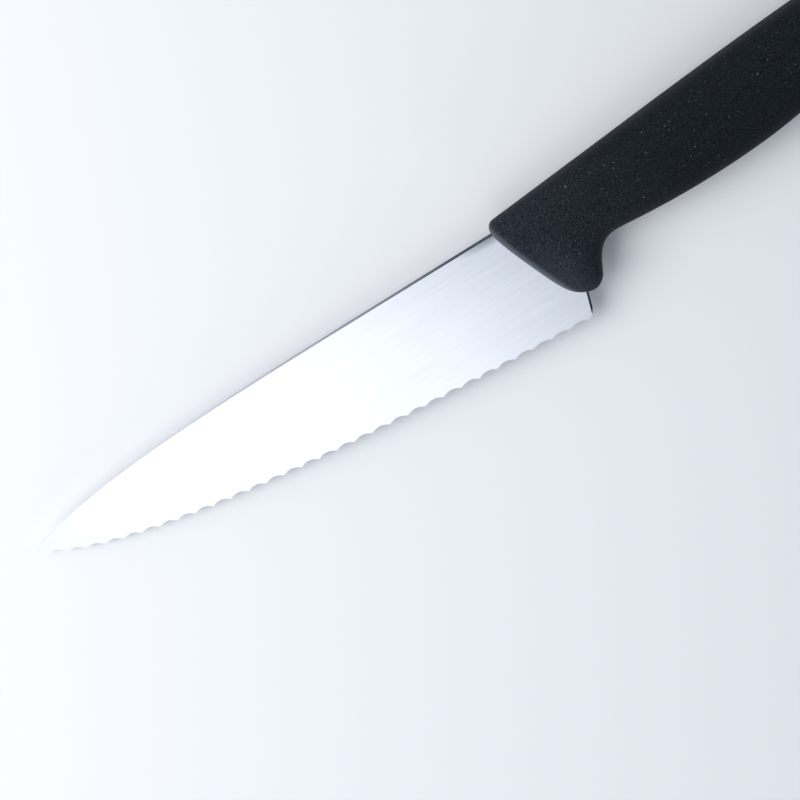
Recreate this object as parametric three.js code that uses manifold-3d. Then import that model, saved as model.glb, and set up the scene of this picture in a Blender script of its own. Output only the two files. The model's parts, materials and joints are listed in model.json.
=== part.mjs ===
// Carving knife: a wavy-edged steel blade in a handle moulded round its tang, lying on its right side.
// Millimetres, +Z up. The knife is drawn in its own axes first: the spine lies along X with the tip at -X,
// the cutting edge is at -Y, the heel of the edge is at X = 0 and Z = 0 is the blade's middle plane.
// It is then laid down as it comes to rest on a table, with the origin under the middle of its box.

import * as THREE from 'three';
import { mergeVertices } from 'three/addons/utils/BufferGeometryUtils.js';
import { ConvexHull } from 'three/addons/math/ConvexHull.js';
import Module from 'manifold-3d';

const { clamp, degToRad, lerp, smoothstep } = THREE.MathUtils;

// Blade outline
const BLADE_LENGTH = 190; // tip to heel, along the spine
const BLADE_HEIGHT = 38.65; // spine to the heel of the edge
const TIP_DROP = 9.75; // tip below the line of the spine
const SPINE_STRAIGHT = 54; // heel to where the spine starts to curve down
const SPINE_START_PULL = 50; // how long the curve hugs the straight spine
const SPINE_TIP_PULL = 25.8; // how long it holds its last slope before the tip
const SPINE_TIP_SLOPE = degToRad(22.2);
const EDGE_TIP_PULL = 27; // the same two values for the edge at the tip
const EDGE_TIP_SLOPE = degToRad(42.4);
const EDGE_HEEL_PULL = 78.4; // and at the heel
const EDGE_HEEL_SLOPE = degToRad(2.2);
const HEEL_ROUND = 1.6; // corner between the edge and the choil
const CHOIL_LEAN = degToRad(17); // the blade's back end leans towards the handle

// Blade thickness: both faces are flat planes through these three places
const SPINE_THICKNESS = 2.4; // strip thickness, kept at the spine above the heel
const TIP_THICKNESS = 0.9;
const EDGE_THICKNESS = 0.9; // at the heel, before the edge is ground
const GRIND_OVERHANG = 20; // what is ground off is taken this far past the outline

// Wavy edge, ground on the right side only
const SERRATION_PITCH = 6.25;
const SERRATION_DEPTH = 1.05; // cusp to valley, seen on the left face
const SERRATION_FIRST = 2; // heel to the first cusp
const PLAIN_TIP = 7; // length of edge at the tip that is left almost straight
const PLAIN_TIP_DEPTH = 0.06;
const GRIND_ANGLE = degToRad(11); // between the ground hollows and the blade's faces
const CUSP_MARGIN = 0.1; // taken off the strip even at the cusps
const HOLLOW_OVERLAP = 0.45; // each hollow runs on past its cusps

// Tang, hidden in the handle
const TANG_OVER = 8; // handle material over the tang
const TANG_UNDER = 4.3; // under it, at the neck
const TANG_BEHIND = 36; // behind its end
const TANG_END_HEIGHT = 9;
const TANG_SHOULDER = 6; // length of spine that runs on inside the handle
const TANG_FILLET = 7; // between the choil and the tang
const TANG_CORNER = 2.5; // corners at the tang's end
const ANCHOR_HOLE = 5.5; // holes that the handle's material fills
const ANCHOR_COUNT = 3;
const ANCHOR_FIRST = 22; // heel to the first hole
const ANCHOR_LAST = 18; // last hole to the end of the tang
const FIT_GAP = 0.3; // between the steel and the handle

// Handle, side view
const HANDLE_REACH = 128; // heel to the butt
const HANDLE_STEP = 3.95; // top of the handle above the spine, over the heel
const HANDLE_RISE = degToRad(4.75); // the top line climbs towards the butt
const TOP_FALL = 2; // how far the top line bends down again at the butt
const TOP_FALL_LENGTH = 68; // length of top line that bends down
const FRONT_REACH = 11.93; // front face ahead of the heel, at the spine
const FRONT_SLANT = degToRad(20.5);
const GUARD_DEPTH = 30.85; // guard's lowest point below the spine
const GUARD_BACK = 3.9; // heel to the middle of the guard's round nose
const GUARD_ROUND = 6;
const GUARD_SWEEP = degToRad(65); // how far the nose turns up behind
const RECESS_PULL = 5.4; // softness of the finger recess behind the guard
const NECK_AT = 19;
const NECK_DEPTH = 18.15;
const NECK_PULL = 4; // length of the flat stretch behind the neck's highest point
const BELLY_AT = 47;
const BELLY_DEPTH = 19.4;
const BELLY_LEAD = 18; // and before the belly's lowest point
const BELLY_TRAIL = 33; // and behind it
const WAIST_TO_BUTT = 30;
const WAIST_DEPTH = 14.35;
const WAIST_PULL = 12;
const BUTT_DEPTH = 17.35;
const BUTT_PULL = 11;

// Handle, cross-section
const GUARD_THICKNESS = 16.8;
const NECK_THICKNESS = 16;
const BELLY_THICKNESS = 19.6;
const WAIST_THICKNESS = 18.4;
const BUTT_THICKNESS = 20;
const SECTION_POWER = 2.7; // 2 is an ellipse, higher values have flatter sides
const FRONT_RIM_ROUND = 2.2;
const FRONT_TOP_ROUND = 2.8;
const BUTT_RIM_ROUND = 7.5;
const BUTT_TOP_ROUND = 12;
const BUTT_BOTTOM_ROUND = 8;

// Weights, for the pose at rest
const STEEL_DENSITY = 7.7e-6; // kilograms per cubic millimetre
const HANDLE_DENSITY = 1.0e-6;

// Fineness of the facets
const OUTLINE_STEPS = 40;
const HOLLOW_STEPS = 6;
const FRONT_RINGS = 8;
const GUARD_RINGS = 12;
const GRIP_RINGS = 20;
const BUTT_RINGS = 6;
const RING_POINTS = 28;
const WELD = 1e-4; // points closer than this are one

const wasm = await Module();
wasm.setup();

// A closed three.js geometry as a solid that can be cut
function solid(geometry) {
  const bare = geometry.clone();
  bare.deleteAttribute('normal');
  bare.deleteAttribute('uv');
  const welded = mergeVertices(bare, WELD);
  const vertProperties = new Float32Array(welded.attributes.position.array);
  const triVerts = new Uint32Array(welded.index.array);
  return new wasm.Manifold(new wasm.Mesh({ numProp: 3, vertProperties, triVerts }));
}

function geometryOf(body) {
  const mesh = body.getMesh();
  const geometry = new THREE.BufferGeometry();
  geometry.setAttribute('position', new THREE.BufferAttribute(mesh.vertProperties, 3));
  geometry.setIndex(new THREE.BufferAttribute(mesh.triVerts, 1));
  return geometry;
}

// The point at a distance and an angle from another point
function away(from, distance, angle) {
  return new THREE.Vector2(from.x + distance * Math.cos(angle), from.y + distance * Math.sin(angle));
}

const tip = new THREE.Vector2(-BLADE_LENGTH, -TIP_DROP);
const heel = new THREE.Vector2(0, -BLADE_HEIGHT);
const tangEnd = HANDLE_REACH - TANG_BEHIND;
const waistAt = HANDLE_REACH - WAIST_TO_BUTT;

const edgeLine = new THREE.CubicBezierCurve(
  tip,
  away(tip, EDGE_TIP_PULL, -EDGE_TIP_SLOPE),
  away(heel, EDGE_HEEL_PULL, Math.PI - EDGE_HEEL_SLOPE),
  heel,
);

// The straight line that the handle's top leaves only near the butt
function risingLine(x) {
  return HANDLE_STEP + x * Math.tan(HANDLE_RISE);
}

function handleTop(x) {
  const bend = Math.max(0, 1 - (HANDLE_REACH - x) / TOP_FALL_LENGTH);
  return risingLine(x) - TOP_FALL * bend * bend;
}

function tangTop(x) {
  return risingLine(x) - TANG_OVER;
}

function tangBottom(x) {
  const atNeck = -NECK_DEPTH + TANG_UNDER;
  const atEnd = tangTop(tangEnd) - TANG_END_HEIGHT;
  return lerp(atNeck, atEnd, (x - NECK_AT) / (tangEnd - NECK_AT));
}

function choilX(y) {
  return (y + BLADE_HEIGHT) * Math.tan(CHOIL_LEAN);
}

// Outline of the steel strip. Inside the handle it can be grown, to cut the pocket that it sits in.
function stripOutline(grow) {
  const end = tangEnd + grow;
  const low = (x) => tangBottom(x) - grow;
  const high = (x) => tangTop(x) + grow;
  const back = (y) => choilX(y) + grow;
  const inner = new THREE.Vector2(back(low(0)), low(0));
  const shoulder = -FRONT_REACH + TANG_SHOULDER + grow;

  const outline = new THREE.Shape();
  outline.moveTo(tip.x, tip.y);
  const { v1, v2 } = edgeLine;
  outline.bezierCurveTo(v1.x, v1.y, v2.x, v2.y, heel.x - HEEL_ROUND, heel.y);
  outline.quadraticCurveTo(back(heel.y), heel.y, back(heel.y + HEEL_ROUND), heel.y + HEEL_ROUND);
  outline.lineTo(back(inner.y - TANG_FILLET), inner.y - TANG_FILLET);
  outline.quadraticCurveTo(inner.x, inner.y, inner.x + TANG_FILLET, low(inner.x + TANG_FILLET));
  outline.lineTo(end - TANG_CORNER, low(end - TANG_CORNER));
  outline.quadraticCurveTo(end, low(end), end, low(end) + TANG_CORNER);
  outline.lineTo(end, high(end) - TANG_CORNER);
  outline.quadraticCurveTo(end, high(end), end - TANG_CORNER, high(end - TANG_CORNER));
  outline.lineTo(shoulder, high(shoulder));
  outline.lineTo(shoulder, grow);
  outline.lineTo(-SPINE_STRAIGHT, grow);
  const leave = -SPINE_STRAIGHT - SPINE_START_PULL;
  const arrive = away(tip, SPINE_TIP_PULL, SPINE_TIP_SLOPE);
  outline.bezierCurveTo(leave, grow, arrive.x, arrive.y, tip.x, tip.y);

  for (let i = 0; i < ANCHOR_COUNT; i += 1) {
    const x = lerp(ANCHOR_FIRST, tangEnd - ANCHOR_LAST, i / (ANCHOR_COUNT - 1));
    const hole = new THREE.Path();
    hole.absarc(x, (tangTop(x) + tangBottom(x)) / 2, ANCHOR_HOLE / 2 - grow, 0, 2 * Math.PI, true);
    outline.holes.push(hole);
  }
  return outline;
}

// The left face's plane; the right face is its mirror image in Z = 0
const leftFace = new THREE.Plane().setFromCoplanarPoints(
  new THREE.Vector3(heel.x, heel.y, EDGE_THICKNESS / 2),
  new THREE.Vector3(0, 0, SPINE_THICKNESS / 2),
  new THREE.Vector3(tip.x, tip.y, TIP_THICKNESS / 2),
);

function leftFaceHeight(x, y) {
  const { normal, constant } = leftFace;
  return -(constant + normal.x * x + normal.y * y) / normal.z;
}

// The slab that is ground off above the left face, or with side -1 below the right face.
// It stops behind the choil, so that the tang keeps the strip's thickness.
function faceGrind(side, grow) {
  const back = choilX(0) + FIT_GAP - grow;
  const length = back + BLADE_LENGTH + GRIND_OVERHANG;
  const width = 2 * (BLADE_HEIGHT + GRIND_OVERHANG);
  const slab = new THREE.BoxGeometry(length, width, GRIND_OVERHANG);
  slab.translate(back - length / 2, 0, (side * GRIND_OVERHANG) / 2);
  const { normal } = leftFace;
  const outward = new THREE.Vector3(normal.x, normal.y, side * normal.z);
  slab.applyQuaternion(new THREE.Quaternion().setFromUnitVectors(new THREE.Vector3(0, 0, side), outward));
  slab.translate(0, 0, side * (leftFaceHeight(0, 0) + grow));
  return solid(slab);
}

// One hollow of the wavy edge. The wheel's path climbs from the left face's edge into the right face.
// Its place is a distance along the edge from the heel, and may lie a little past either end.
function edgeHollow(distance, depth) {
  const length = edgeLine.getLength();
  const nearest = clamp(distance, 0, length);
  const tangent = edgeLine.getTangentAt(1 - nearest / length);
  const at = edgeLine.getPointAt(1 - nearest / length).addScaledVector(tangent, nearest - distance);
  const along = new THREE.Vector3(tangent.x, tangent.y, 0);
  const inward = new THREE.Vector3(-tangent.y, tangent.x, 0);
  const valley = CUSP_MARGIN + depth;
  const start = new THREE.Vector3(at.x, at.y, 0).addScaledVector(inward, valley);
  start.z = leftFaceHeight(start.x, start.y);

  const out = new THREE.Vector3(0, 0, -Math.cos(GRIND_ANGLE)).addScaledVector(inward, -Math.sin(GRIND_ANGLE));
  const climb = new THREE.Vector3().crossVectors(along, out);
  const half = SERRATION_PITCH / 2;
  const rise = depth * Math.sin(GRIND_ANGLE);
  const radius = (half * half + rise * rise) / (2 * rise);
  const wide = half + HOLLOW_OVERLAP;
  const turn = Math.asin(wide / radius);
  const lead = SPINE_THICKNESS;
  const reach = lead + SPINE_THICKNESS / Math.sin(GRIND_ANGLE);

  const profile = new THREE.Shape();
  profile.absarc(0, radius, radius, -Math.PI / 2 - turn, -Math.PI / 2 + turn);
  profile.lineTo(wide, SPINE_THICKNESS);
  profile.lineTo(-wide, SPINE_THICKNESS);
  const wheel = new THREE.ExtrudeGeometry(profile, {
    depth: reach,
    bevelEnabled: false,
    curveSegments: HOLLOW_STEPS,
  });
  start.addScaledVector(climb, -lead);
  wheel.applyMatrix4(new THREE.Matrix4().makeBasis(along, out, climb).setPosition(start));
  return solid(wheel);
}

// The strip cut to outline and ground to its wedge, with the outside grown for the handle's pocket
function groundStrip(grow) {
  const depth = SPINE_THICKNESS + 2 * grow;
  const strip = new THREE.ExtrudeGeometry(stripOutline(grow), {
    depth,
    bevelEnabled: false,
    curveSegments: OUTLINE_STEPS,
  });
  strip.translate(0, 0, -depth / 2);
  return solid(strip).subtract(faceGrind(1, grow)).subtract(faceGrind(-1, grow));
}

function bladeGeometry() {
  let body = groundStrip(0);
  const length = edgeLine.getLength();
  const count = Math.ceil((length - SERRATION_FIRST) / SERRATION_PITCH);
  for (let i = -1; i < count; i += 1) {
    const distance = SERRATION_FIRST + (i + 0.5) * SERRATION_PITCH;
    const plain = distance > length - PLAIN_TIP;
    body = body.subtract(edgeHollow(distance, plain ? PLAIN_TIP_DEPTH : SERRATION_DEPTH));
  }
  return geometryOf(body);
}

function frontX(y) {
  return -FRONT_REACH - y * Math.tan(FRONT_SLANT);
}

// The handle's underside from the foot of its front face, round the guard, to the butt
function undersideLine() {
  const nose = new THREE.Vector2(GUARD_BACK, -GUARD_DEPTH + GUARD_ROUND);
  const noseEnd = -Math.PI / 2 + GUARD_SWEEP;
  const behind = away(nose, GUARD_ROUND, noseEnd);
  const neck = new THREE.Vector2(NECK_AT, -NECK_DEPTH);
  const belly = new THREE.Vector2(BELLY_AT, -BELLY_DEPTH);
  const waist = new THREE.Vector2(waistAt, -WAIST_DEPTH);
  const butt = new THREE.Vector2(HANDLE_REACH, -BUTT_DEPTH);
  const foot = new THREE.Vector2(frontX(-GUARD_DEPTH), -GUARD_DEPTH);

  const line = new THREE.CurvePath();
  const wave = (from, leadOut, to, leadIn) =>
    line.add(new THREE.CubicBezierCurve(from, away(from, leadOut, 0), away(to, leadIn, Math.PI), to));
  line.add(new THREE.LineCurve(foot, new THREE.Vector2(GUARD_BACK, -GUARD_DEPTH)));
  line.add(new THREE.EllipseCurve(nose.x, nose.y, GUARD_ROUND, GUARD_ROUND, -Math.PI / 2, noseEnd));
  const rising = away(behind, RECESS_PULL, noseEnd + Math.PI / 2);
  line.add(new THREE.CubicBezierCurve(behind, rising, away(neck, RECESS_PULL, Math.PI), neck));
  wave(neck, NECK_PULL, belly, BELLY_LEAD);
  wave(belly, BELLY_TRAIL, waist, WAIST_PULL);
  wave(waist, WAIST_PULL, butt, BUTT_PULL);
  return line;
}

function handleThickness(x) {
  const places = [
    [0, GUARD_THICKNESS],
    [NECK_AT, NECK_THICKNESS],
    [BELLY_AT, BELLY_THICKNESS],
    [waistAt, WAIST_THICKNESS],
    [HANDLE_REACH, BUTT_THICKNESS],
  ];
  let thickness = GUARD_THICKNESS;
  for (let i = 1; i < places.length; i += 1) {
    const change = places[i][1] - places[i - 1][1];
    thickness += change * smoothstep(x, places[i - 1][0], places[i][0]);
  }
  return thickness;
}

// How far a surface draws in near an end that is rounded by a quarter circle
function drawIn(distance, round) {
  const short = Math.max(0, round - distance);
  return round - Math.sqrt(round * round - short * short);
}

// One ring round the handle, in the slanted plane through a point of the underside.
// The plane swings from the front's slant to square across the handle at the neck.
function handleRing(low) {
  const slant = FRONT_SLANT * (1 - smoothstep(low.x, frontX(-GUARD_DEPTH), NECK_AT));
  const up = new THREE.Vector2(-Math.sin(slant), Math.cos(slant));
  const toTop = (risingLine(low.x) - low.y) / (up.y - Math.tan(HANDLE_RISE) * up.x);
  const high = low.clone().addScaledVector(up, toTop);
  high.y = handleTop(high.x);

  const fromFront = (point) => Math.max(0, (point.x - frontX(point.y)) * Math.cos(FRONT_SLANT));
  const fromButt = (point) => Math.max(0, HANDLE_REACH - point.x);
  const middle = low.clone().lerp(high, 0.5);
  const rim = drawIn(fromFront(middle), FRONT_RIM_ROUND) + drawIn(fromButt(middle), BUTT_RIM_ROUND);
  const half = handleThickness(middle.x) / 2 - rim;
  const highIn = drawIn(fromFront(high), FRONT_TOP_ROUND) + drawIn(fromButt(high), BUTT_TOP_ROUND);
  const lowIn = drawIn(fromFront(low), GUARD_ROUND) + drawIn(fromButt(low), BUTT_BOTTOM_ROUND);
  const top = high.addScaledVector(up, -highIn);
  const bottom = low.clone().addScaledVector(up, lowIn);

  const ring = [];
  const flatten = (value) => Math.sign(value) * Math.abs(value) ** (2 / SECTION_POWER);
  for (let j = 0; j < RING_POINTS; j += 1) {
    const angle = (2 * Math.PI * j) / RING_POINTS;
    const point = bottom.clone().lerp(top, (1 + flatten(Math.cos(angle))) / 2);
    ring.push(new THREE.Vector3(point.x, point.y, half * flatten(Math.sin(angle))));
  }
  return ring;
}

// Distances along the underside at which rings are placed, closer together at the rounded ends
function ringDistances(line) {
  const neckLength = line.getCurveLengths()[2];
  const total = line.getLength();
  const buttStart = total - BUTT_TOP_ROUND;
  const distances = [];
  for (let i = 0; i < FRONT_RINGS; i += 1) {
    distances.push(GUARD_ROUND * (1 - Math.cos((Math.PI / 2) * (i / FRONT_RINGS))));
  }
  for (let i = 0; i < GUARD_RINGS; i += 1) {
    distances.push(lerp(GUARD_ROUND, neckLength, i / GUARD_RINGS));
  }
  for (let i = 0; i < GRIP_RINGS; i += 1) {
    distances.push(lerp(neckLength, buttStart, i / GRIP_RINGS));
  }
  for (let i = 0; i <= BUTT_RINGS; i += 1) {
    distances.push(buttStart + BUTT_TOP_ROUND * Math.sin((Math.PI / 2) * (i / BUTT_RINGS)));
  }
  return distances.map((distance) => distance / total);
}

// A closed skin over rings of equal point count, with a flat fan over each end
function loft(rings) {
  const count = rings[0].length;
  const points = rings.flat();
  const centre = (ring) => ring.reduce((sum, p) => sum.add(p), new THREE.Vector3()).divideScalar(count);
  const frontCentre = points.push(centre(rings[0])) - 1;
  const backCentre = points.push(centre(rings.at(-1))) - 1;
  const backStart = (rings.length - 1) * count;
  const faces = [];
  for (let j = 0; j < count; j += 1) {
    const next = (j + 1) % count;
    for (let i = 0; i < rings.length - 1; i += 1) {
      const here = i * count;
      const there = here + count;
      faces.push(here + j, here + next, there + j);
      faces.push(here + next, there + next, there + j);
    }
    faces.push(frontCentre, next, j);
    faces.push(backCentre, backStart + j, backStart + next);
  }
  const geometry = new THREE.BufferGeometry().setFromPoints(points);
  geometry.setIndex(faces);
  return geometry;
}

function handleGeometry() {
  const line = undersideLine();
  const rings = ringDistances(line).map((u) => handleRing(line.getPoint(u)));
  return geometryOf(solid(loft(rings)).subtract(groundStrip(FIT_GAP)));
}

// Weight of a closed geometry, and its centre, from the tetrahedra between its faces and the origin
function weigh(geometry, density) {
  const { position } = geometry.attributes;
  const corner = (i) => new THREE.Vector3().fromBufferAttribute(position, geometry.index.getX(i));
  const centre = new THREE.Vector3();
  let volume = 0;
  for (let i = 0; i < geometry.index.count; i += 3) {
    const [a, b, c] = [corner(i), corner(i + 1), corner(i + 2)];
    const part = a.dot(b.clone().cross(c)) / 6;
    volume += part;
    centre.addScaledVector(a.add(b).add(c), part / 4);
  }
  return { weight: volume * density, centre: centre.divideScalar(volume) };
}

// The face of the knife's convex hull that it rests on with its right side down:
// the lowest one that has the centre of gravity over it
function restingFace(object, gravityCentre) {
  const overFace = (face) => {
    const corners = [face.edge, face.edge.next, face.edge.next.next].map((edge) => edge.head().point);
    return new THREE.Triangle(...corners).containsPoint(gravityCentre);
  };
  const faces = new ConvexHull().setFromObject(object).faces.filter((face) => face.normal.z < 0);
  const stable = faces.filter(overFace);
  return stable.sort((a, b) => b.distanceToPoint(gravityCentre) - a.distanceToPoint(gravityCentre))[0];
}

const blade = new THREE.Mesh(
  bladeGeometry(),
  new THREE.MeshStandardMaterial({ color: 0xd9dee5, metalness: 1, roughness: 0.28 }),
);
blade.name = 'blade';

const handle = new THREE.Mesh(
  handleGeometry(),
  new THREE.MeshStandardMaterial({ color: 0x1c1f23, metalness: 0, roughness: 0.72 }),
);
handle.name = 'handle';

const knife = new THREE.Group();
knife.add(blade, handle);

const steel = weigh(blade.geometry, STEEL_DENSITY);
const grip = weigh(handle.geometry, HANDLE_DENSITY);
const gravityCentre = steel.centre.clone().lerp(grip.centre, grip.weight / (steel.weight + grip.weight));

const down = new THREE.Vector3(0, 0, -1);
knife.quaternion.setFromUnitVectors(restingFace(knife, gravityCentre).normal, down);
const box = new THREE.Box3().setFromObject(knife, true);
const middle = box.getCenter(new THREE.Vector3());
knife.position.set(-middle.x, -middle.y, -box.min.z);

const carvingKnife = new THREE.Group();
carvingKnife.add(knife);

export default carvingKnife;
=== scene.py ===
# Carving knife: the finished blade and handle, their materials, and the table, light and camera round them.
# The shapes are worked out in the knife's own axes, in millimetres: the spine lies along X with the tip
# at -X, the cutting edge is at -Y, the heel of the edge is at X = 0 and Z = 0 is the blade's middle plane.
import json
from math import cos, pi, radians, sin, tan

import bpy
import numpy as np
from mathutils import Matrix, Vector


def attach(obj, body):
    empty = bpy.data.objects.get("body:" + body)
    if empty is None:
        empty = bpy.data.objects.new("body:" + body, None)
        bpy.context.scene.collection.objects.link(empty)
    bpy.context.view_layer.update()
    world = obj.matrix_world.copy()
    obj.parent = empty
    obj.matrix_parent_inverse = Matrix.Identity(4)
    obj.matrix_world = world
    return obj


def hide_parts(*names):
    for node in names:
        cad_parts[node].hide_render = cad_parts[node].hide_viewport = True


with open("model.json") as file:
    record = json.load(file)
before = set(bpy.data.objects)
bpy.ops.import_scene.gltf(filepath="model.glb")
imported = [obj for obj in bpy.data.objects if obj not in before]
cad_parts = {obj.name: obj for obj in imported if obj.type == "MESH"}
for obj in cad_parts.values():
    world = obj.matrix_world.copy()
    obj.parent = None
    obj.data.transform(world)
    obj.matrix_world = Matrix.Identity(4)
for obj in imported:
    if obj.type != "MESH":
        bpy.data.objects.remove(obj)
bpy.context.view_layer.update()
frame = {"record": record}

# Blade outline
BLADE_LENGTH = 190
BLADE_HEIGHT = 38.65
TIP_DROP = 9.75
SPINE_STRAIGHT = 54
SPINE_START_PULL = 50
SPINE_TIP_PULL = 25.8
SPINE_TIP_SLOPE = radians(22.2)
EDGE_TIP_PULL = 27
EDGE_TIP_SLOPE = radians(42.4)
EDGE_HEEL_PULL = 78.4
EDGE_HEEL_SLOPE = radians(2.2)
HEEL_ROUND = 1.6
CHOIL_LEAN = radians(17)

# Blade thickness
SPINE_THICKNESS = 2.4
TIP_THICKNESS = 0.9
EDGE_THICKNESS = 0.9

# The strip has its sharp corners taken off, along the spine less and less towards the tip,
# and nowhere deeper than a share of its half thickness
SPINE_BREAK = 0.45
CHOIL_BREAK = 0.75
BREAK_SHARE = 0.7

# Wavy edge
SERRATION_PITCH = 6.25
SERRATION_DEPTH = 1.05
SERRATION_FIRST = 2
PLAIN_TIP = 7
PLAIN_TIP_DEPTH = 0.06
GRIND_ANGLE = radians(11)
CUSP_MARGIN = 0.1

# Tang
TANG_OVER = 8
TANG_UNDER = 4.3
TANG_BEHIND = 36
TANG_END_HEIGHT = 9
TANG_SHOULDER = 6
TANG_FILLET = 7
TANG_CORNER = 2.5
FIT_GAP = 0.3

# Handle, side view
HANDLE_REACH = 128
HANDLE_STEP = 3.95
HANDLE_RISE = radians(4.75)
TOP_FALL = 2
TOP_FALL_LENGTH = 68
FRONT_REACH = 11.93
FRONT_SLANT = radians(20.5)
GUARD_DEPTH = 30.85
GUARD_BACK = 3.9
GUARD_ROUND = 6
GUARD_SWEEP = radians(65)
RECESS_PULL = 5.4
NECK_AT = 19
NECK_DEPTH = 18.15
NECK_PULL = 4
BELLY_AT = 47
BELLY_DEPTH = 19.4
BELLY_LEAD = 18
BELLY_TRAIL = 33
WAIST_TO_BUTT = 30
WAIST_DEPTH = 14.35
WAIST_PULL = 12
BUTT_DEPTH = 17.35
BUTT_PULL = 11

# Handle, cross-section
GUARD_THICKNESS = 16.8
NECK_THICKNESS = 16
BELLY_THICKNESS = 19.6
WAIST_THICKNESS = 18.4
BUTT_THICKNESS = 20
SECTION_POWER = 2.7
FRONT_RIM_ROUND = 2.2
FRONT_TOP_ROUND = 2.8
BUTT_RIM_ROUND = 7.5
BUTT_TOP_ROUND = 12
BUTT_BOTTOM_ROUND = 8

# Fineness of the surfaces
HOLLOW_COLUMNS = 24
CURVE_STEPS = 120
CORNER_STEPS = 10
FRONT_RINGS = 20
GUARD_RINGS = 50
GRIP_RINGS = 80
BUTT_RINGS = 20
RING_POINTS = 120
EDGE_STEPS = 2400
SMALL_STEP = 0.001
BLADE_CREASE = radians(5)
HANDLE_CREASE = radians(35)

# The blank that the blade is cut from stands past its outline by this much
BLANK_SPARE = 4

# The tool that takes the corners off stands clear of the faces by this much
BREAK_CLEAR = 0.05

# Ground faces lie nearly level, so their normals have at least this much of Z
GROUND_LEVEL = 0.9

# Where the two flat mounts lie on the blade
MOUNT_X = -70
MOUNT_Y = -16

# Camera, in the knife's axes
CAMERA_AT = np.array([43.2, 123.85, 452.3])
CAMERA_AIM = np.array([-63.7, -29.45, 0])
PICTURE_TURN = radians(31.1)  # the knife's length, up from the picture's level
LENS = 72
SENSOR = 36
CLIP_START = 0.01

# Noise lies mostly between these two values, and scales of grain count its features per metre
NOISE_LOW = 0.3
NOISE_HIGH = 0.7

# Steel: brush lines along the blade, and broad clouds that are less glossy
STEEL_DARK = (0.762, 0.792, 0.842)
STEEL_PALE = (0.815, 0.845, 0.895)
STEEL_ROUGHNESS = (0.262, 0.286)
STEEL_ALONG = 25
LINES_ACROSS = 800
CLOUDS_ACROSS = 70
CLOUD_ROUGHNESS = 0.03

# The stamped sides are dull and carry a painted dark reflection of the shaded table. It is gone up to the
# first of these places in the frame's X, in metres, and full from the second
SIDE_SHADE_TINT = (0.07, 0.082, 0.105)
STAMPED_ROUGHNESS = 0.2
SIDE_SHADE_FROM = -0.104
SIDE_SHADE_TO = 0.006

# Painted shade darkens the steel round the corner of the spine and the handle
CORNER_SHADE_TINT = (0.16, 0.2, 0.26)
CORNER_SHADE = 0.9
CORNER_SHADE_LENGTH = 14
CORNER_SHADE_WIDTH = 3.2

# Plastic: dark and pale grains, a few specks, and patches that are less glossy
GRAIN_SCALE = 2500
GRAIN_SPREAD = (0.35, 0.65)
GRAIN_DARK = (0.002, 0.003, 0.004)
GRAIN_PALE = (0.0148, 0.02, 0.0268)
GRAIN_ROUGHNESS = (0.45, 0.53)
SPECK_SCALE = 1500
SPECK_SPREAD = (0.69, 0.75)
SPECK_TINT = (0.3, 0.31, 0.33)
PATCHES_ALONG = 40
PATCHES_ACROSS = 60
PATCH_ROUGHNESS = 0.08

# Behind a dark seam, the handle's front rim carries a painted highlight over one depth and is smooth over
# another, and the pale grains of the grip are painted paler, as painted light, over a third. Each of the
# three is strongest at the front
SEAM_START = 0.15
SEAM_END = 0.45
RIM_HIGHLIGHT_TINT = (0.135, 0.147, 0.178)
RIM_HIGHLIGHT = 0.9
RIM_HIGHLIGHT_DEPTH = 2.2
SMOOTH_RIM = 0.15
SMOOTH_RIM_DEPTH = 4
LIT_FRONT_GRAIN = (0.088, 0.101, 0.132)
LIT_GRIP = 0.27
LIT_GRIP_DEPTH = 45

# A painted highlight lies on the guard round a place on its front
GUARD_HIGHLIGHT = 0.15
GUARD_HIGHLIGHT_DROP = 24
GUARD_HIGHLIGHT_REACH = (11, 20, 40)

# Table, in metres
TABLE_HALF = 3.0
TABLE_TINT = (0.80, 0.80, 0.82)

# Soft boxes stand round the middle of the knife, in metres, in a room with a little light of its own
LIGHT_AIM = Vector((-0.05, 0, 0))
LIGHT_DISTANCE = 1.0
ROOM_TINT = (0.6, 0.78, 1.0)
ROOM_STRENGTH = 0.2
WHITE = (1, 1, 1)
TIP_CARD_TINT = (0.85, 0.93, 1.0)

MM = 0.001

tip = np.array([-BLADE_LENGTH, -TIP_DROP])
heel = np.array([0, -BLADE_HEIGHT])
tang_end = HANDLE_REACH - TANG_BEHIND
waist_at = HANDLE_REACH - WAIST_TO_BUTT


def away(point, distance, angle):
    """The point at a distance and an angle from another point."""
    return point + distance * np.array([cos(angle), sin(angle)])


def bezier(*controls, steps):
    """Points of a Bezier curve of any degree, by repeated straight blends between neighbouring controls."""
    t = np.linspace(0, 1, steps + 1)[:, None]
    levels = [np.broadcast_to(c, (steps + 1, 2)) for c in controls]
    while len(levels) > 1:
        levels = [(1 - t) * a + t * b for a, b in zip(levels, levels[1:])]
    return levels[0]


def joined(*stretches):
    """Stretches of points end to end, with each shared end kept once."""
    return np.concatenate([stretches[0]] + [s[1:] for s in stretches[1:]])


def running_length(points):
    """Distance along a row of points, from its first one."""
    return np.concatenate([[0], np.cumsum(np.linalg.norm(np.diff(points, axis=0), axis=1))])


def along(points, distances):
    """Points at given distances along a row of points, straight on past either end."""
    length = running_length(points)
    inside = np.clip(distances, 0, length[-1])
    found = np.stack([np.interp(inside, length, points[:, k]) for k in (0, 1)], axis=1)
    first = (points[1] - points[0]) / length[1]
    last = (points[-1] - points[-2]) / (length[-1] - length[-2])
    before = np.minimum(distances, 0)[:, None]
    after = np.maximum(distances - length[-1], 0)[:, None]
    return found + before * first + after * last


# Side view of the blade and the tang

edge_controls = (
    heel,
    away(heel, EDGE_HEEL_PULL, pi - EDGE_HEEL_SLOPE),
    away(tip, EDGE_TIP_PULL, -EDGE_TIP_SLOPE),
    tip,
)


def rising_line(x):
    return HANDLE_STEP + x * tan(HANDLE_RISE)


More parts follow.
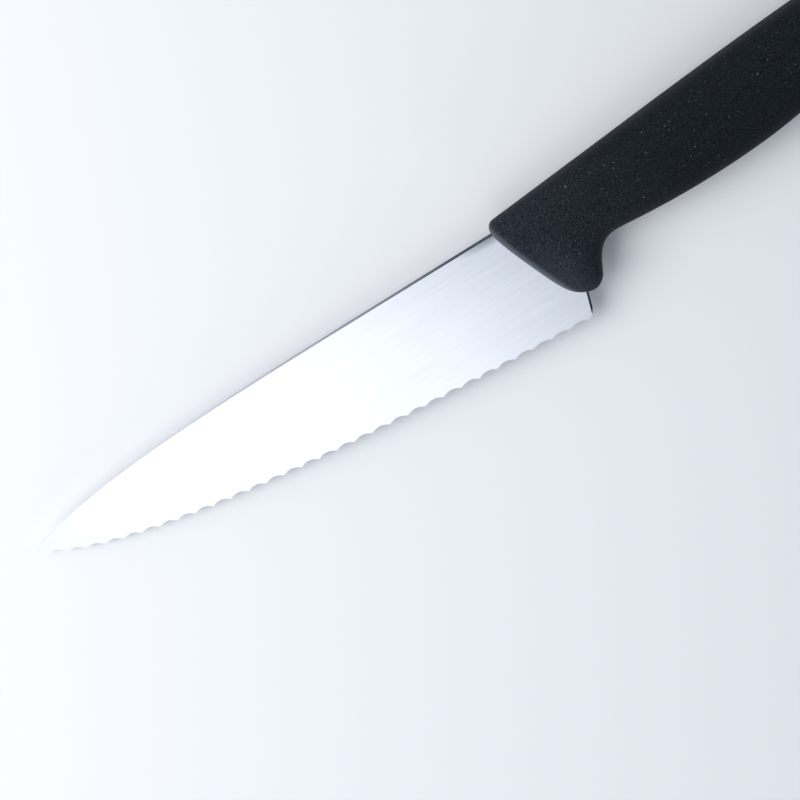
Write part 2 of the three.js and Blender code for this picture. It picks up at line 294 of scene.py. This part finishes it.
def handle_top(x):
    bend = np.maximum(0, 1 - (HANDLE_REACH - x) / TOP_FALL_LENGTH)
    return rising_line(x) - TOP_FALL * bend**2


def tang_top(x):
    return rising_line(x) - TANG_OVER


def tang_bottom(x):
    at_neck = -NECK_DEPTH + TANG_UNDER
    at_end = tang_top(tang_end) - TANG_END_HEIGHT
    return at_neck + (at_end - at_neck) * (x - NECK_AT) / (tang_end - NECK_AT)


def choil_x(y):
    return (y + BLADE_HEIGHT) * tan(CHOIL_LEAN)


def strip_outline(grow):
    """Outline of the steel strip from the tip along the edge, round the tang and back along the spine.
    Inside the handle it can be grown, for the pocket that the strip sits in."""
    end = tang_end + grow
    low = tang_bottom(0) - grow
    inner = np.array([choil_x(low) + grow, low])
    shoulder = -FRONT_REACH + TANG_SHOULDER + grow
    choil_foot = np.array([choil_x(heel[1] + HEEL_ROUND) + grow, heel[1] + HEEL_ROUND])
    fillet_foot = np.array([choil_x(low - TANG_FILLET) + grow, low - TANG_FILLET])
    fillet_end = inner[0] + TANG_FILLET
    corner = end - TANG_CORNER
    lower = lambda x: np.array([x, tang_bottom(x) - grow])
    upper = lambda x: np.array([x, tang_top(x) + grow])
    edge = bezier(*edge_controls[:0:-1], heel - [HEEL_ROUND, 0], steps=CURVE_STEPS)
    heel_corner = bezier(edge[-1], heel + [grow, 0], choil_foot, steps=CORNER_STEPS)
    fillet = bezier(fillet_foot, inner, lower(fillet_end), steps=CORNER_STEPS)
    low_corner = bezier(lower(corner), lower(end), lower(end) + [0, TANG_CORNER], steps=CORNER_STEPS)
    high_corner = bezier(upper(end) - [0, TANG_CORNER], upper(end), upper(corner), steps=CORNER_STEPS)
    step = np.array([upper(shoulder), [shoulder, grow]])
    spine = bezier(
        np.array([-SPINE_STRAIGHT, grow]),
        np.array([-SPINE_STRAIGHT - SPINE_START_PULL, grow]),
        away(tip, SPINE_TIP_PULL, SPINE_TIP_SLOPE),
        tip,
        steps=CURVE_STEPS,
    )
    return np.concatenate([edge, heel_corner[1:], fillet, low_corner, high_corner, step, spine[:-1]])


def face_height(x, y):
    """Height of the left face over the middle plane. The face is a plane through the heel, the tip and the
    back end of the spine."""
    fall = (SPINE_THICKNESS - EDGE_THICKNESS) / 2 / BLADE_HEIGHT
    at_tip = (SPINE_THICKNESS - TIP_THICKNESS) / 2 - fall * TIP_DROP
    return SPINE_THICKNESS / 2 + fall * y + at_tip / BLADE_LENGTH * x


# Meshes

def mesh_piece(name, points, faces):
    """A mesh object from points in the knife's axes, in millimetres, and faces of any number of corners."""
    mesh = bpy.data.meshes.new(name)
    mesh.from_pydata(points.tolist(), [], faces)
    mesh.validate()
    piece = bpy.data.objects.new(name, mesh)
    bpy.context.scene.collection.objects.link(piece)
    return piece


def skin_faces(rings, count):
    """Faces of a closed skin over rings of points: quads between neighbours, and one face over each end."""
    here = np.arange((rings - 1) * count).reshape(rings - 1, count)
    beside = np.roll(here, -1, axis=1)
    quads = np.stack([here, beside, beside + count, here + count], axis=-1).reshape(-1, 4)
    first = list(range(count))[::-1]
    last = list(range((rings - 1) * count, rings * count))
    return quads.tolist() + [first, last]


def prism(name, outline, heights):
    """The solid between an outline at some heights over the middle plane and its mirror image below it."""
    over = np.column_stack([outline, heights])
    under = np.column_stack([outline, -heights])
    return mesh_piece(name, np.concatenate([under, over]), skin_faces(2, len(outline)))


def broken_prism(name, outline, breaks):
    """The solid inside an outline with its outer corners taken off. Rings of the outline lie a break below
    each face, and each is followed outwards by a ring that is drawn in by the break and stands just clear
    of the face."""
    step = np.roll(outline, -1, axis=0) - np.roll(outline, 1, axis=0)
    inward = np.column_stack([-step[:, 1], step[:, 0]]) / np.linalg.norm(step, axis=1)[:, None]
    drawn = outline + inward * breaks[:, None]
    height = face_height(*outline.T)
    top = np.column_stack([drawn, face_height(*drawn.T) + BREAK_CLEAR])
    shoulder = np.column_stack([outline, height - np.minimum(breaks, BREAK_SHARE * height)])
    mirrored = np.array([1, 1, -1])
    rings = np.concatenate([top * mirrored, shoulder * mirrored, shoulder, top])
    return mesh_piece(name, rings, skin_faces(4, len(outline)))


def cut(piece, tool, operation):
    """Cuts a piece with another one, which is used up."""
    modifier = piece.modifiers.new("cut", "BOOLEAN")
    modifier.operation = operation
    modifier.solver = "EXACT"
    modifier.object = tool
    shaped = piece.evaluated_get(bpy.context.evaluated_depsgraph_get())
    mesh = bpy.data.meshes.new_from_object(shaped)
    piece.modifiers.clear()
    piece.data = mesh
    bpy.data.objects.remove(tool)


def knife_place():
    """The knife's axes in the frame, from its two flat mounts. In the knife's own axes their normals differ
    only in the sign of Z."""
    mounts = {m["name"]: m for m in frame["record"]["mounts"]}
    left = Vector(mounts["blade_left_flat"]["axis"])
    right = Vector(mounts["blade_right_flat"]["axis"])
    lean = np.array([face_height(0, 0) - face_height(1, 0), face_height(0, 0) - face_height(0, 1)])
    lean = lean / np.linalg.norm(lean)
    z_axis = (left - right).normalized()
    lean_axis = (left + right).normalized()
    cross_axis = z_axis.cross(lean_axis)
    x_axis = lean_axis * lean[0] - cross_axis * lean[1]
    y_axis = lean_axis * lean[1] + cross_axis * lean[0]
    turn = Matrix((x_axis, y_axis, z_axis)).transposed()
    on_blade = Vector((MOUNT_X, MOUNT_Y, face_height(MOUNT_X, MOUNT_Y))) * MM
    place = Vector(mounts["blade_left_flat"]["pos_m"]) - turn @ on_blade
    return Matrix.Translation(place) @ turn.to_4x4()


knife_in_frame = knife_place()


def settle(piece, crease):
    """Puts a finished piece in its place in the frame, in metres, with smooth faces and sharp creases."""
    piece.data.transform(knife_in_frame @ Matrix.Scale(MM, 4))
    piece.data.shade_smooth()
    piece.data.set_sharp_from_angle(angle=crease)


# Blade

def ground_blank():
    """A bar with four corners in each column, and a column for each distance from the heel along the edge.
    Left corner of the edge: the edge line, moved in by a margin and by a parabola over each hollow.
    Top of the hollow: further in, where a line falling at the grind angle meets the right face.
    Both faces then run straight up past the spine."""
    edge = bezier(*edge_controls, steps=EDGE_STEPS)
    length = running_length(edge)[-1]
    pitches = np.arange(-HOLLOW_COLUMNS, HOLLOW_COLUMNS * (length + BLANK_SPARE) / SERRATION_PITCH)
    distance = SERRATION_FIRST + SERRATION_PITCH * pitches / HOLLOW_COLUMNS
    distance = np.concatenate([[-tang_end - BLANK_SPARE, -choil_x(0) - FIT_GAP], distance])
    line = along(edge, distance)
    ahead = along(edge, distance + SMALL_STEP)
    forward = (ahead - line) / SMALL_STEP
    inward = np.column_stack([forward[:, 1], -forward[:, 0]])

    hollow = np.floor((distance - SERRATION_FIRST) / SERRATION_PITCH)
    middle = SERRATION_FIRST + (hollow + 0.5) * SERRATION_PITCH
    depth = np.where(middle > length - PLAIN_TIP, PLAIN_TIP_DEPTH, SERRATION_DEPTH)
    wave = depth * (1 - ((distance - middle) / (SERRATION_PITCH / 2)) ** 2)
    edge_point = line + inward * (CUSP_MARGIN + wave)[:, None]
    edge_height = face_height(*edge_point.T)
    climb = face_height(*(edge_point + inward).T) - edge_height
    hollow_top = edge_point + inward * (2 * edge_height / (tan(GRIND_ANGLE) - climb))[:, None]
    above = np.column_stack([hollow_top[:, 0], np.full(len(distance), BLANK_SPARE)])

    left_top = np.column_stack([above, face_height(*above.T)])
    left_edge = np.column_stack([edge_point, edge_height])
    right_hollow = np.column_stack([hollow_top, -face_height(*hollow_top.T)])
    right_top = np.column_stack([above, -face_height(*above.T)])
    columns = np.stack([right_top, right_hollow, left_edge, left_top], axis=1)
    return mesh_piece("ground_blade", columns.reshape(-1, 3), skin_faces(len(distance), 4))


def mark_sides(blade):
    """Marks the faces that were stamped, round the outline, apart from those that were ground."""
    normals = np.empty(3 * len(blade.data.polygons))
    blade.data.polygons.foreach_get("normal", normals)
    stamped = np.abs(normals.reshape(-1, 3)[:, 2]) < GROUND_LEVEL
    mark = blade.data.attributes.new("stamped", "FLOAT", "FACE")
    mark.data.foreach_set("value", stamped.astype(np.float32))


def make_blade():
    blade = ground_blank()
    outline = strip_outline(0)
    place = np.arange(len(outline))
    on_edge = place <= CURVE_STEPS
    on_spine = place >= len(outline) - CURVE_STEPS - 1
    along_spine = SPINE_BREAK * (outline[:, 0] - tip[0]) / BLADE_LENGTH
    round_heel = CHOIL_BREAK * np.clip((outline[:, 1] - heel[1]) / HEEL_ROUND, 0, 1)
    breaks = np.where(on_edge, 0, np.where(on_spine, along_spine, round_heel))
    cut(blade, broken_prism("outline", outline, breaks), "INTERSECT")
    mark_sides(blade)
    settle(blade, BLADE_CREASE)
    return blade


# Handle

def front_x(y):
    return -FRONT_REACH - y * tan(FRONT_SLANT)


def underside_line():
    """The handle's underside: a straight foot, the guard's nose, the finger recess, then three waves."""
    nose = np.array([GUARD_BACK, -GUARD_DEPTH + GUARD_ROUND])
    turn = np.linspace(-pi / 2, -pi / 2 + GUARD_SWEEP, CURVE_STEPS)
    arc = nose + GUARD_ROUND * np.column_stack([np.cos(turn), np.sin(turn)])
    neck = np.array([NECK_AT, -NECK_DEPTH])
    belly = np.array([BELLY_AT, -BELLY_DEPTH])
    waist = np.array([waist_at, -WAIST_DEPTH])
    butt = np.array([HANDLE_REACH, -BUTT_DEPTH])
    foot = np.array([[front_x(-GUARD_DEPTH), -GUARD_DEPTH], arc[0]])

    def wave(start, lead_out, end, lead_in):
        return bezier(start, start + [lead_out, 0], end - [lead_in, 0], end, steps=CURVE_STEPS)

    rising = away(arc[-1], RECESS_PULL, turn[-1] + pi / 2)
    recess = bezier(arc[-1], rising, neck - [RECESS_PULL, 0], neck, steps=CURVE_STEPS)
    to_neck = joined(foot, arc, recess)
    whole = joined(
        to_neck,
        wave(neck, NECK_PULL, belly, BELLY_LEAD),
        wave(belly, BELLY_TRAIL, waist, WAIST_PULL),
        wave(waist, WAIST_PULL, butt, BUTT_PULL),
    )
    return whole, running_length(to_neck)[-1]


def smooth_step(x, start, end):
    t = np.clip((x - start) / (end - start), 0, 1)
    return t * t * (3 - 2 * t)


def handle_thickness(x):
    """Thickness along the handle, eased from each of the named places to the next."""
    places = [0, NECK_AT, BELLY_AT, waist_at, HANDLE_REACH]
    sizes = [GUARD_THICKNESS, NECK_THICKNESS, BELLY_THICKNESS, WAIST_THICKNESS, BUTT_THICKNESS]
    steps = [
        (after - before) * smooth_step(x, start, end)
        for before, after, start, end in zip(sizes, sizes[1:], places, places[1:])
    ]
    return GUARD_THICKNESS + sum(steps)


def draw_in(distance, round_):
    """How far a surface draws in near an end that is rounded by a quarter circle."""
    short = np.maximum(0, round_ - np.maximum(0, distance))
    return round_ - np.sqrt(round_**2 - short**2)


def ring_distances(total, neck_length):
    """Distances along the underside at which rings are placed, closer together at the rounded ends."""
    butt_start = total - BUTT_TOP_ROUND
    quarter = lambda rings: np.arange(rings) / rings * pi / 2
    return np.concatenate([
        GUARD_ROUND * (1 - np.cos(quarter(FRONT_RINGS))),
        np.linspace(GUARD_ROUND, neck_length, GUARD_RINGS, endpoint=False),
        np.linspace(neck_length, butt_start, GRIP_RINGS, endpoint=False),
        butt_start + BUTT_TOP_ROUND * np.sin(quarter(BUTT_RINGS)),
        [total],
    ])


def handle_skin():
    """Rings in planes that swing from the front's slant to square at the neck. Each ring is a superellipse
    between the underside and the top line, drawn in by quarter circles at both ends."""
    underside, neck_length = underside_line()
    low = along(underside, ring_distances(running_length(underside)[-1], neck_length))
    slant = FRONT_SLANT * (1 - smooth_step(low[:, 0], front_x(-GUARD_DEPTH), NECK_AT))
    up = np.column_stack([-np.sin(slant), np.cos(slant)])
    to_top = (rising_line(low[:, 0]) - low[:, 1]) / (up[:, 1] - tan(HANDLE_RISE) * up[:, 0])
    high = low + up * to_top[:, None]
    high[:, 1] = handle_top(high[:, 0])

    from_front = lambda p: (p[:, 0] - front_x(p[:, 1])) * cos(FRONT_SLANT)
    from_butt = lambda p: HANDLE_REACH - p[:, 0]
    drawn = lambda p, front, butt: draw_in(from_front(p), front) + draw_in(from_butt(p), butt)
    middle = (low + high) / 2
    half = handle_thickness(middle[:, 0]) / 2 - drawn(middle, FRONT_RIM_ROUND, BUTT_RIM_ROUND)
    top = high - up * drawn(high, FRONT_TOP_ROUND, BUTT_TOP_ROUND)[:, None]
    bottom = low + up * drawn(low, GUARD_ROUND, BUTT_BOTTOM_ROUND)[:, None]

    angle = np.arange(RING_POINTS) / RING_POINTS * 2 * pi
    flatten = lambda value: np.sign(value) * np.abs(value) ** (2 / SECTION_POWER)
    share = ((1 + flatten(np.cos(angle))) / 2)[None, :, None]
    flat = bottom[:, None] * (1 - share) + top[:, None] * share
    across = half[:, None, None] * flatten(np.sin(angle))[None, :, None]
    points = np.concatenate([flat, across], axis=2)
    return mesh_piece("moulded_handle", points.reshape(-1, 3), skin_faces(len(low), RING_POINTS))


def make_handle():
    handle = handle_skin()
    outline = strip_outline(FIT_GAP)
    cut(handle, prism("pocket", outline, face_height(*outline.T) + FIT_GAP), "DIFFERENCE")
    settle(handle, HANDLE_CREASE)
    return handle


# Materials

def add_node(tree, kind, **values):
    """A node with its properties and its unlinked inputs set by name."""
    node = tree.nodes.new(kind)
    for name, value in values.items():
        if name in node.inputs:
            node.inputs[name].default_value = value
        else:
            setattr(node, name, value)
    return node


def grain_group():
    """Fine grain of a finished surface: noise on Object coordinates, with a scale of its own along X."""
    group = bpy.data.node_groups.new("surface grain", "ShaderNodeTree")
    face = group.interface
    face.new_socket("Along", in_out="INPUT", socket_type="NodeSocketFloat")
    face.new_socket("Across", in_out="INPUT", socket_type="NodeSocketFloat")
    face.new_socket("Grain", in_out="OUTPUT", socket_type="NodeSocketFloat")
    entry = group.nodes.new("NodeGroupInput")
    result = group.nodes.new("NodeGroupOutput")
    place = add_node(group, "ShaderNodeTexCoord")
    scale = add_node(group, "ShaderNodeCombineXYZ")
    spread = add_node(group, "ShaderNodeVectorMath", operation="MULTIPLY")
    noise = add_node(group, "ShaderNodeTexNoise", Scale=1.0, Detail=3.0, Roughness=0.6)
    link = group.links.new
    link(entry.outputs["Along"], scale.inputs["X"])
    link(entry.outputs["Across"], scale.inputs["Y"])
    link(entry.outputs["Across"], scale.inputs["Z"])
    link(place.outputs["Object"], spread.inputs[0])
    link(scale.outputs["Vector"], spread.inputs[1])
    link(spread.outputs["Vector"], noise.inputs["Vector"])
    link(noise.outputs["Fac"], result.inputs["Grain"])
    return group


surface_grain = grain_group()


def new_material(name, **values):
    material = bpy.data.materials.new(name)
    material.use_nodes = True
    shader = material.node_tree.nodes["Principled BSDF"]
    for socket, value in values.items():
        shader.inputs[socket.replace("_", " ")].default_value = value
    return material, material.node_tree, shader


def grain_of(tree, along_scale, across_scale):
    node = add_node(tree, "ShaderNodeGroup", node_tree=surface_grain)
    node.inputs["Along"].default_value = along_scale
    node.inputs["Across"].default_value = across_scale
    return node.outputs["Grain"]


def ranged(tree, value, low, high, start=NOISE_LOW, end=NOISE_HIGH):
    """A value from one range carried over to another."""
    node = add_node(tree, "ShaderNodeMapRange")
    node.inputs["From Min"].default_value = start
    node.inputs["From Max"].default_value = end
    node.inputs["To Min"].default_value = low
    node.inputs["To Max"].default_value = high
    tree.links.new(value, node.inputs["Value"])
    return node.outputs["Result"]


def blend(tree, factor, first, second):
    """A colour between two others, each a plain colour or the output of a node."""
    node = add_node(tree, "ShaderNodeMix", data_type="RGBA")
    tree.links.new(factor, node.inputs["Factor"])
    for name, colour in (("A", first), ("B", second)):
        if isinstance(colour, tuple):
            node.inputs[name].default_value = (*colour, 1)
        else:
            tree.links.new(colour, node.inputs[name])
    return node.outputs["Result"]


def combined(tree, operation, first, second):
    """The sum, the product or another combination of two values."""
    node = add_node(tree, "ShaderNodeMath", operation=operation)
    tree.links.new(first, node.inputs[0])
    tree.links.new(second, node.inputs[1])
    return node.outputs["Value"]


def nearness(tree, centre, reach, peak):
    """A value that falls evenly from a peak at a point to nothing on an ellipsoid round it. The point is
    in the knife's axes and the reach along the frame's, both in millimetres."""
    round_point = add_node(tree, "ShaderNodeMapping", vector_type="TEXTURE")
    round_point.inputs["Location"].default_value = knife_in_frame @ (Vector(centre) * MM)
    round_point.inputs["Scale"].default_value = Vector(reach) * MM
    tree.links.new(add_node(tree, "ShaderNodeTexCoord").outputs["Object"], round_point.inputs["Vector"])
    distance = add_node(tree, "ShaderNodeVectorMath", operation="LENGTH")
    tree.links.new(round_point.outputs["Vector"], distance.inputs[0])
    return ranged(tree, distance.outputs["Value"], peak, 0, start=0, end=1)


def raised(tree, shader, height, strength, distance):
    """Small relief on a shader's surface."""
    bump = add_node(tree, "ShaderNodeBump", Strength=strength, Distance=distance)
    tree.links.new(height, bump.inputs["Height"])
    tree.links.new(bump.outputs["Normal"], shader.inputs["Normal"])


def brushed_steel():
    """Satin steel: fine lines brushed along the blade and a broad unevenness that shows in the gloss.
    The stamped sides are dull and carry a painted dark reflection of the shaded table, which fades out
    towards the tip. Painted shade darkens the corner of the spine and the handle."""
    material, tree, shader = new_material("brushed steel", Metallic=1.0)
    lines = grain_of(tree, STEEL_ALONG, LINES_ACROSS)
    cloud = ranged(tree, grain_of(tree, STEEL_ALONG, CLOUDS_ACROSS), 0, CLOUD_ROUGHNESS)
    split = add_node(tree, "ShaderNodeSeparateXYZ")
    tree.links.new(add_node(tree, "ShaderNodeTexCoord").outputs["Object"], split.inputs["Vector"])
    stamped = add_node(tree, "ShaderNodeAttribute", attribute_name="stamped").outputs["Fac"]
    # Painted dark reflection on the stamped sides, full near the handle and fading out towards the tip
    side_shade_fade = ranged(tree, split.outputs["X"], 0, 1, start=SIDE_SHADE_FROM, end=SIDE_SHADE_TO)
    side_shade_mask = combined(tree, "MULTIPLY", stamped, side_shade_fade)
    # Painted shade round the corner of the spine and the handle
    corner_shade_mask = nearness(tree, (front_x(0), 0, 0), (CORNER_SHADE_LENGTH, CORNER_SHADE_WIDTH, CORNER_SHADE_LENGTH), CORNER_SHADE)

    tint = blend(tree, ranged(tree, lines, 0, 1), STEEL_DARK, STEEL_PALE)
    tint = blend(tree, corner_shade_mask, tint, CORNER_SHADE_TINT)
    # Painted dark reflection of the shaded table on the stamped sides
    tint = blend(tree, side_shade_mask, tint, SIDE_SHADE_TINT)
    gloss = combined(tree, "ADD", ranged(tree, lines, *STEEL_ROUGHNESS), cloud)
    gloss = combined(tree, "ADD", gloss, ranged(tree, stamped, 0, STAMPED_ROUGHNESS, start=0, end=1))
    tree.links.new(tint, shader.inputs["Base Color"])
    tree.links.new(gloss, shader.inputs["Roughness"])
    raised(tree, shader, lines, strength=0.008, distance=0.00003)
    return material


def depth_behind_front(tree):
    """How far a place lies behind the slanted plane that ends the handle at its front, in metres."""
    behind = knife_in_frame.to_3x3() @ Vector((cos(FRONT_SLANT), sin(FRONT_SLANT), 0))
    on_plane = knife_in_frame @ Vector((front_x(0) * MM, 0, 0))
    from_plane = add_node(tree, "ShaderNodeVectorMath", operation="SUBTRACT")
    from_plane.inputs[1].default_value = on_plane
    tree.links.new(add_node(tree, "ShaderNodeTexCoord").outputs["Object"], from_plane.inputs[0])
    depth = add_node(tree, "ShaderNodeVectorMath", operation="DOT_PRODUCT")
    depth.inputs[1].default_value = behind
    tree.links.new(from_plane.outputs["Vector"], depth.inputs[0])
    return depth.outputs["Value"]


def grained_plastic():
    """Matte black plastic: a fine moulded grain, a few pale specks and patches that differ in gloss.
    Its pale grains are painted paler towards the front, as painted light. The front rim, where the mould
    closed on the blade, is smooth and has a painted highlight behind a dark seam. The guard has a weaker
    one."""
    material, tree, shader = new_material("grained plastic", Specular_IOR_Level=0.05, Coat_Roughness=0.36)
    grain = grain_of(tree, GRAIN_SCALE, GRAIN_SCALE)
    specks = ranged(tree, grain_of(tree, SPECK_SCALE, SPECK_SCALE), 0, 1, *SPECK_SPREAD)
    patches = ranged(tree, grain_of(tree, PATCHES_ALONG, PATCHES_ACROSS), 0, PATCH_ROUGHNESS)
    depth = depth_behind_front(tree)
    past_seam = ranged(tree, depth, 0, 1, start=SEAM_START * MM, end=SEAM_END * MM)
    smooth = ranged(tree, depth, SMOOTH_RIM, 0, start=0, end=SMOOTH_RIM_DEPTH * MM)
    # Painted light: the pale grains get paler towards the front, where more light falls
    lit_grip_mask = ranged(tree, depth, LIT_GRIP, 0, start=0, end=LIT_GRIP_DEPTH * MM)
    # Painted highlight along the front rim
    rim_highlight_mask = ranged(tree, depth, RIM_HIGHLIGHT, 0, start=0, end=RIM_HIGHLIGHT_DEPTH * MM)
    # Painted highlight round a place on the guard's front
    guard_place = (front_x(-GUARD_HIGHLIGHT_DROP), -GUARD_HIGHLIGHT_DROP, 0)
    guard_highlight_mask = nearness(tree, guard_place, GUARD_HIGHLIGHT_REACH, GUARD_HIGHLIGHT)
    highlight_mask = combined(tree, "ADD", combined(tree, "MULTIPLY", past_seam, rim_highlight_mask), guard_highlight_mask)

    # Pale grains painted paler towards the front, as painted light
    pale_grain = blend(tree, lit_grip_mask, GRAIN_PALE, LIT_FRONT_GRAIN)
    tint = blend(tree, ranged(tree, grain, 0, 1, *GRAIN_SPREAD), GRAIN_DARK, pale_grain)
    tint = blend(tree, specks, tint, SPECK_TINT)
    # Painted highlight on the front rim and the guard
    tint = blend(tree, highlight_mask, tint, RIM_HIGHLIGHT_TINT)
    gloss = combined(tree, "ADD", ranged(tree, grain, *GRAIN_ROUGHNESS), patches)
    tree.links.new(tint, shader.inputs["Base Color"])
    tree.links.new(gloss, shader.inputs["Roughness"])
    tree.links.new(combined(tree, "MULTIPLY", past_seam, smooth), shader.inputs["Coat Weight"])
    raised(tree, shader, grain, strength=0.9, distance=0.0003)
    return material


# Table, light and camera

def make_table():
    mesh = bpy.data.meshes.new("table")
    half = TABLE_HALF
    corners = [(-half, -half, 0), (half, -half, 0), (half, half, 0), (-half, half, 0)]
    mesh.from_pydata(corners, [], [(0, 1, 2, 3)])
    table = bpy.data.objects.new("table", mesh)
    bpy.context.scene.collection.objects.link(table)
    material, _, _ = new_material("pale table", Roughness=0.8, Base_Color=(*TABLE_TINT, 1))
    mesh.materials.append(material)


def soft_light(name, azimuth, elevation, size, power, colour=WHITE):
    """A square soft box that looks at the knife from a place given by two angles, in degrees."""
    turn = radians(azimuth)
    rise = radians(elevation)
    toward = Vector((cos(rise) * cos(turn), cos(rise) * sin(turn), sin(rise)))
    lamp = bpy.data.lights.new(name, "AREA")
    lamp.shape = "SQUARE"
    lamp.size = size
    lamp.energy = power
    lamp.color = colour
    piece = bpy.data.objects.new(name, lamp)
    piece.location = LIGHT_AIM + toward * LIGHT_DISTANCE
    piece.rotation_euler = toward.to_track_quat("Z", "Y").to_euler()
    bpy.context.scene.collection.objects.link(piece)


def make_light():
    world = bpy.data.worlds.new("studio")
    bpy.context.scene.world = world
    world.use_nodes = True
    room = world.node_tree.nodes["Background"]
    room.inputs["Color"].default_value = (*ROOM_TINT, 1)
    room.inputs["Strength"].default_value = ROOM_STRENGTH
    soft_light("key", azimuth=142, elevation=50, size=0.78, power=9.1)
    soft_light("sheet", azimuth=227.5, elevation=58.5, size=0.58, power=1.44)
    soft_light("tip card", azimuth=208, elevation=18, size=0.36, power=1.7, colour=TIP_CARD_TINT)
    soft_light("front card", azimuth=275, elevation=12, size=0.4, power=1.9)
    soft_light("back fill", azimuth=118, elevation=32, size=1.2, power=4.0)
    soft_light("butt card", azimuth=5, elevation=17, size=0.6, power=0.8)


def make_camera():
    """The camera stands in the knife's axes, turned about its line of sight until the knife's length rises
    in the picture as it should."""
    back = (CAMERA_AT - CAMERA_AIM) / np.linalg.norm(CAMERA_AT - CAMERA_AIM)
    length = np.array([1, 0, 0]) - back[0] * back
    length = length / np.linalg.norm(length)
    across = np.cross(back, length)
    right = cos(PICTURE_TURN) * length - sin(PICTURE_TURN) * across
    up = sin(PICTURE_TURN) * length + cos(PICTURE_TURN) * across
    turn = Matrix((right, up, back)).transposed().to_4x4()
    data = bpy.data.cameras.new("camera")
    data.sensor_width = SENSOR
    data.lens = LENS
    data.clip_start = CLIP_START
    camera = bpy.data.objects.new("camera", data)
    place = Matrix.Translation(Vector(CAMERA_AT) * MM)
    camera.matrix_world = knife_in_frame @ place @ turn
    bpy.context.scene.collection.objects.link(camera)
    bpy.context.scene.camera = camera


make_camera()
make_light()
make_table()

blade = make_blade()
blade.data.materials.clear()
blade.data.materials.append(brushed_steel())
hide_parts("blade")
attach(blade, "root")

handle = make_handle()
handle.data.materials.clear()
handle.data.materials.append(grained_plastic())
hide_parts("handle")
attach(handle, "root")

bpy.context.scene.view_settings.view_transform = "Standard"
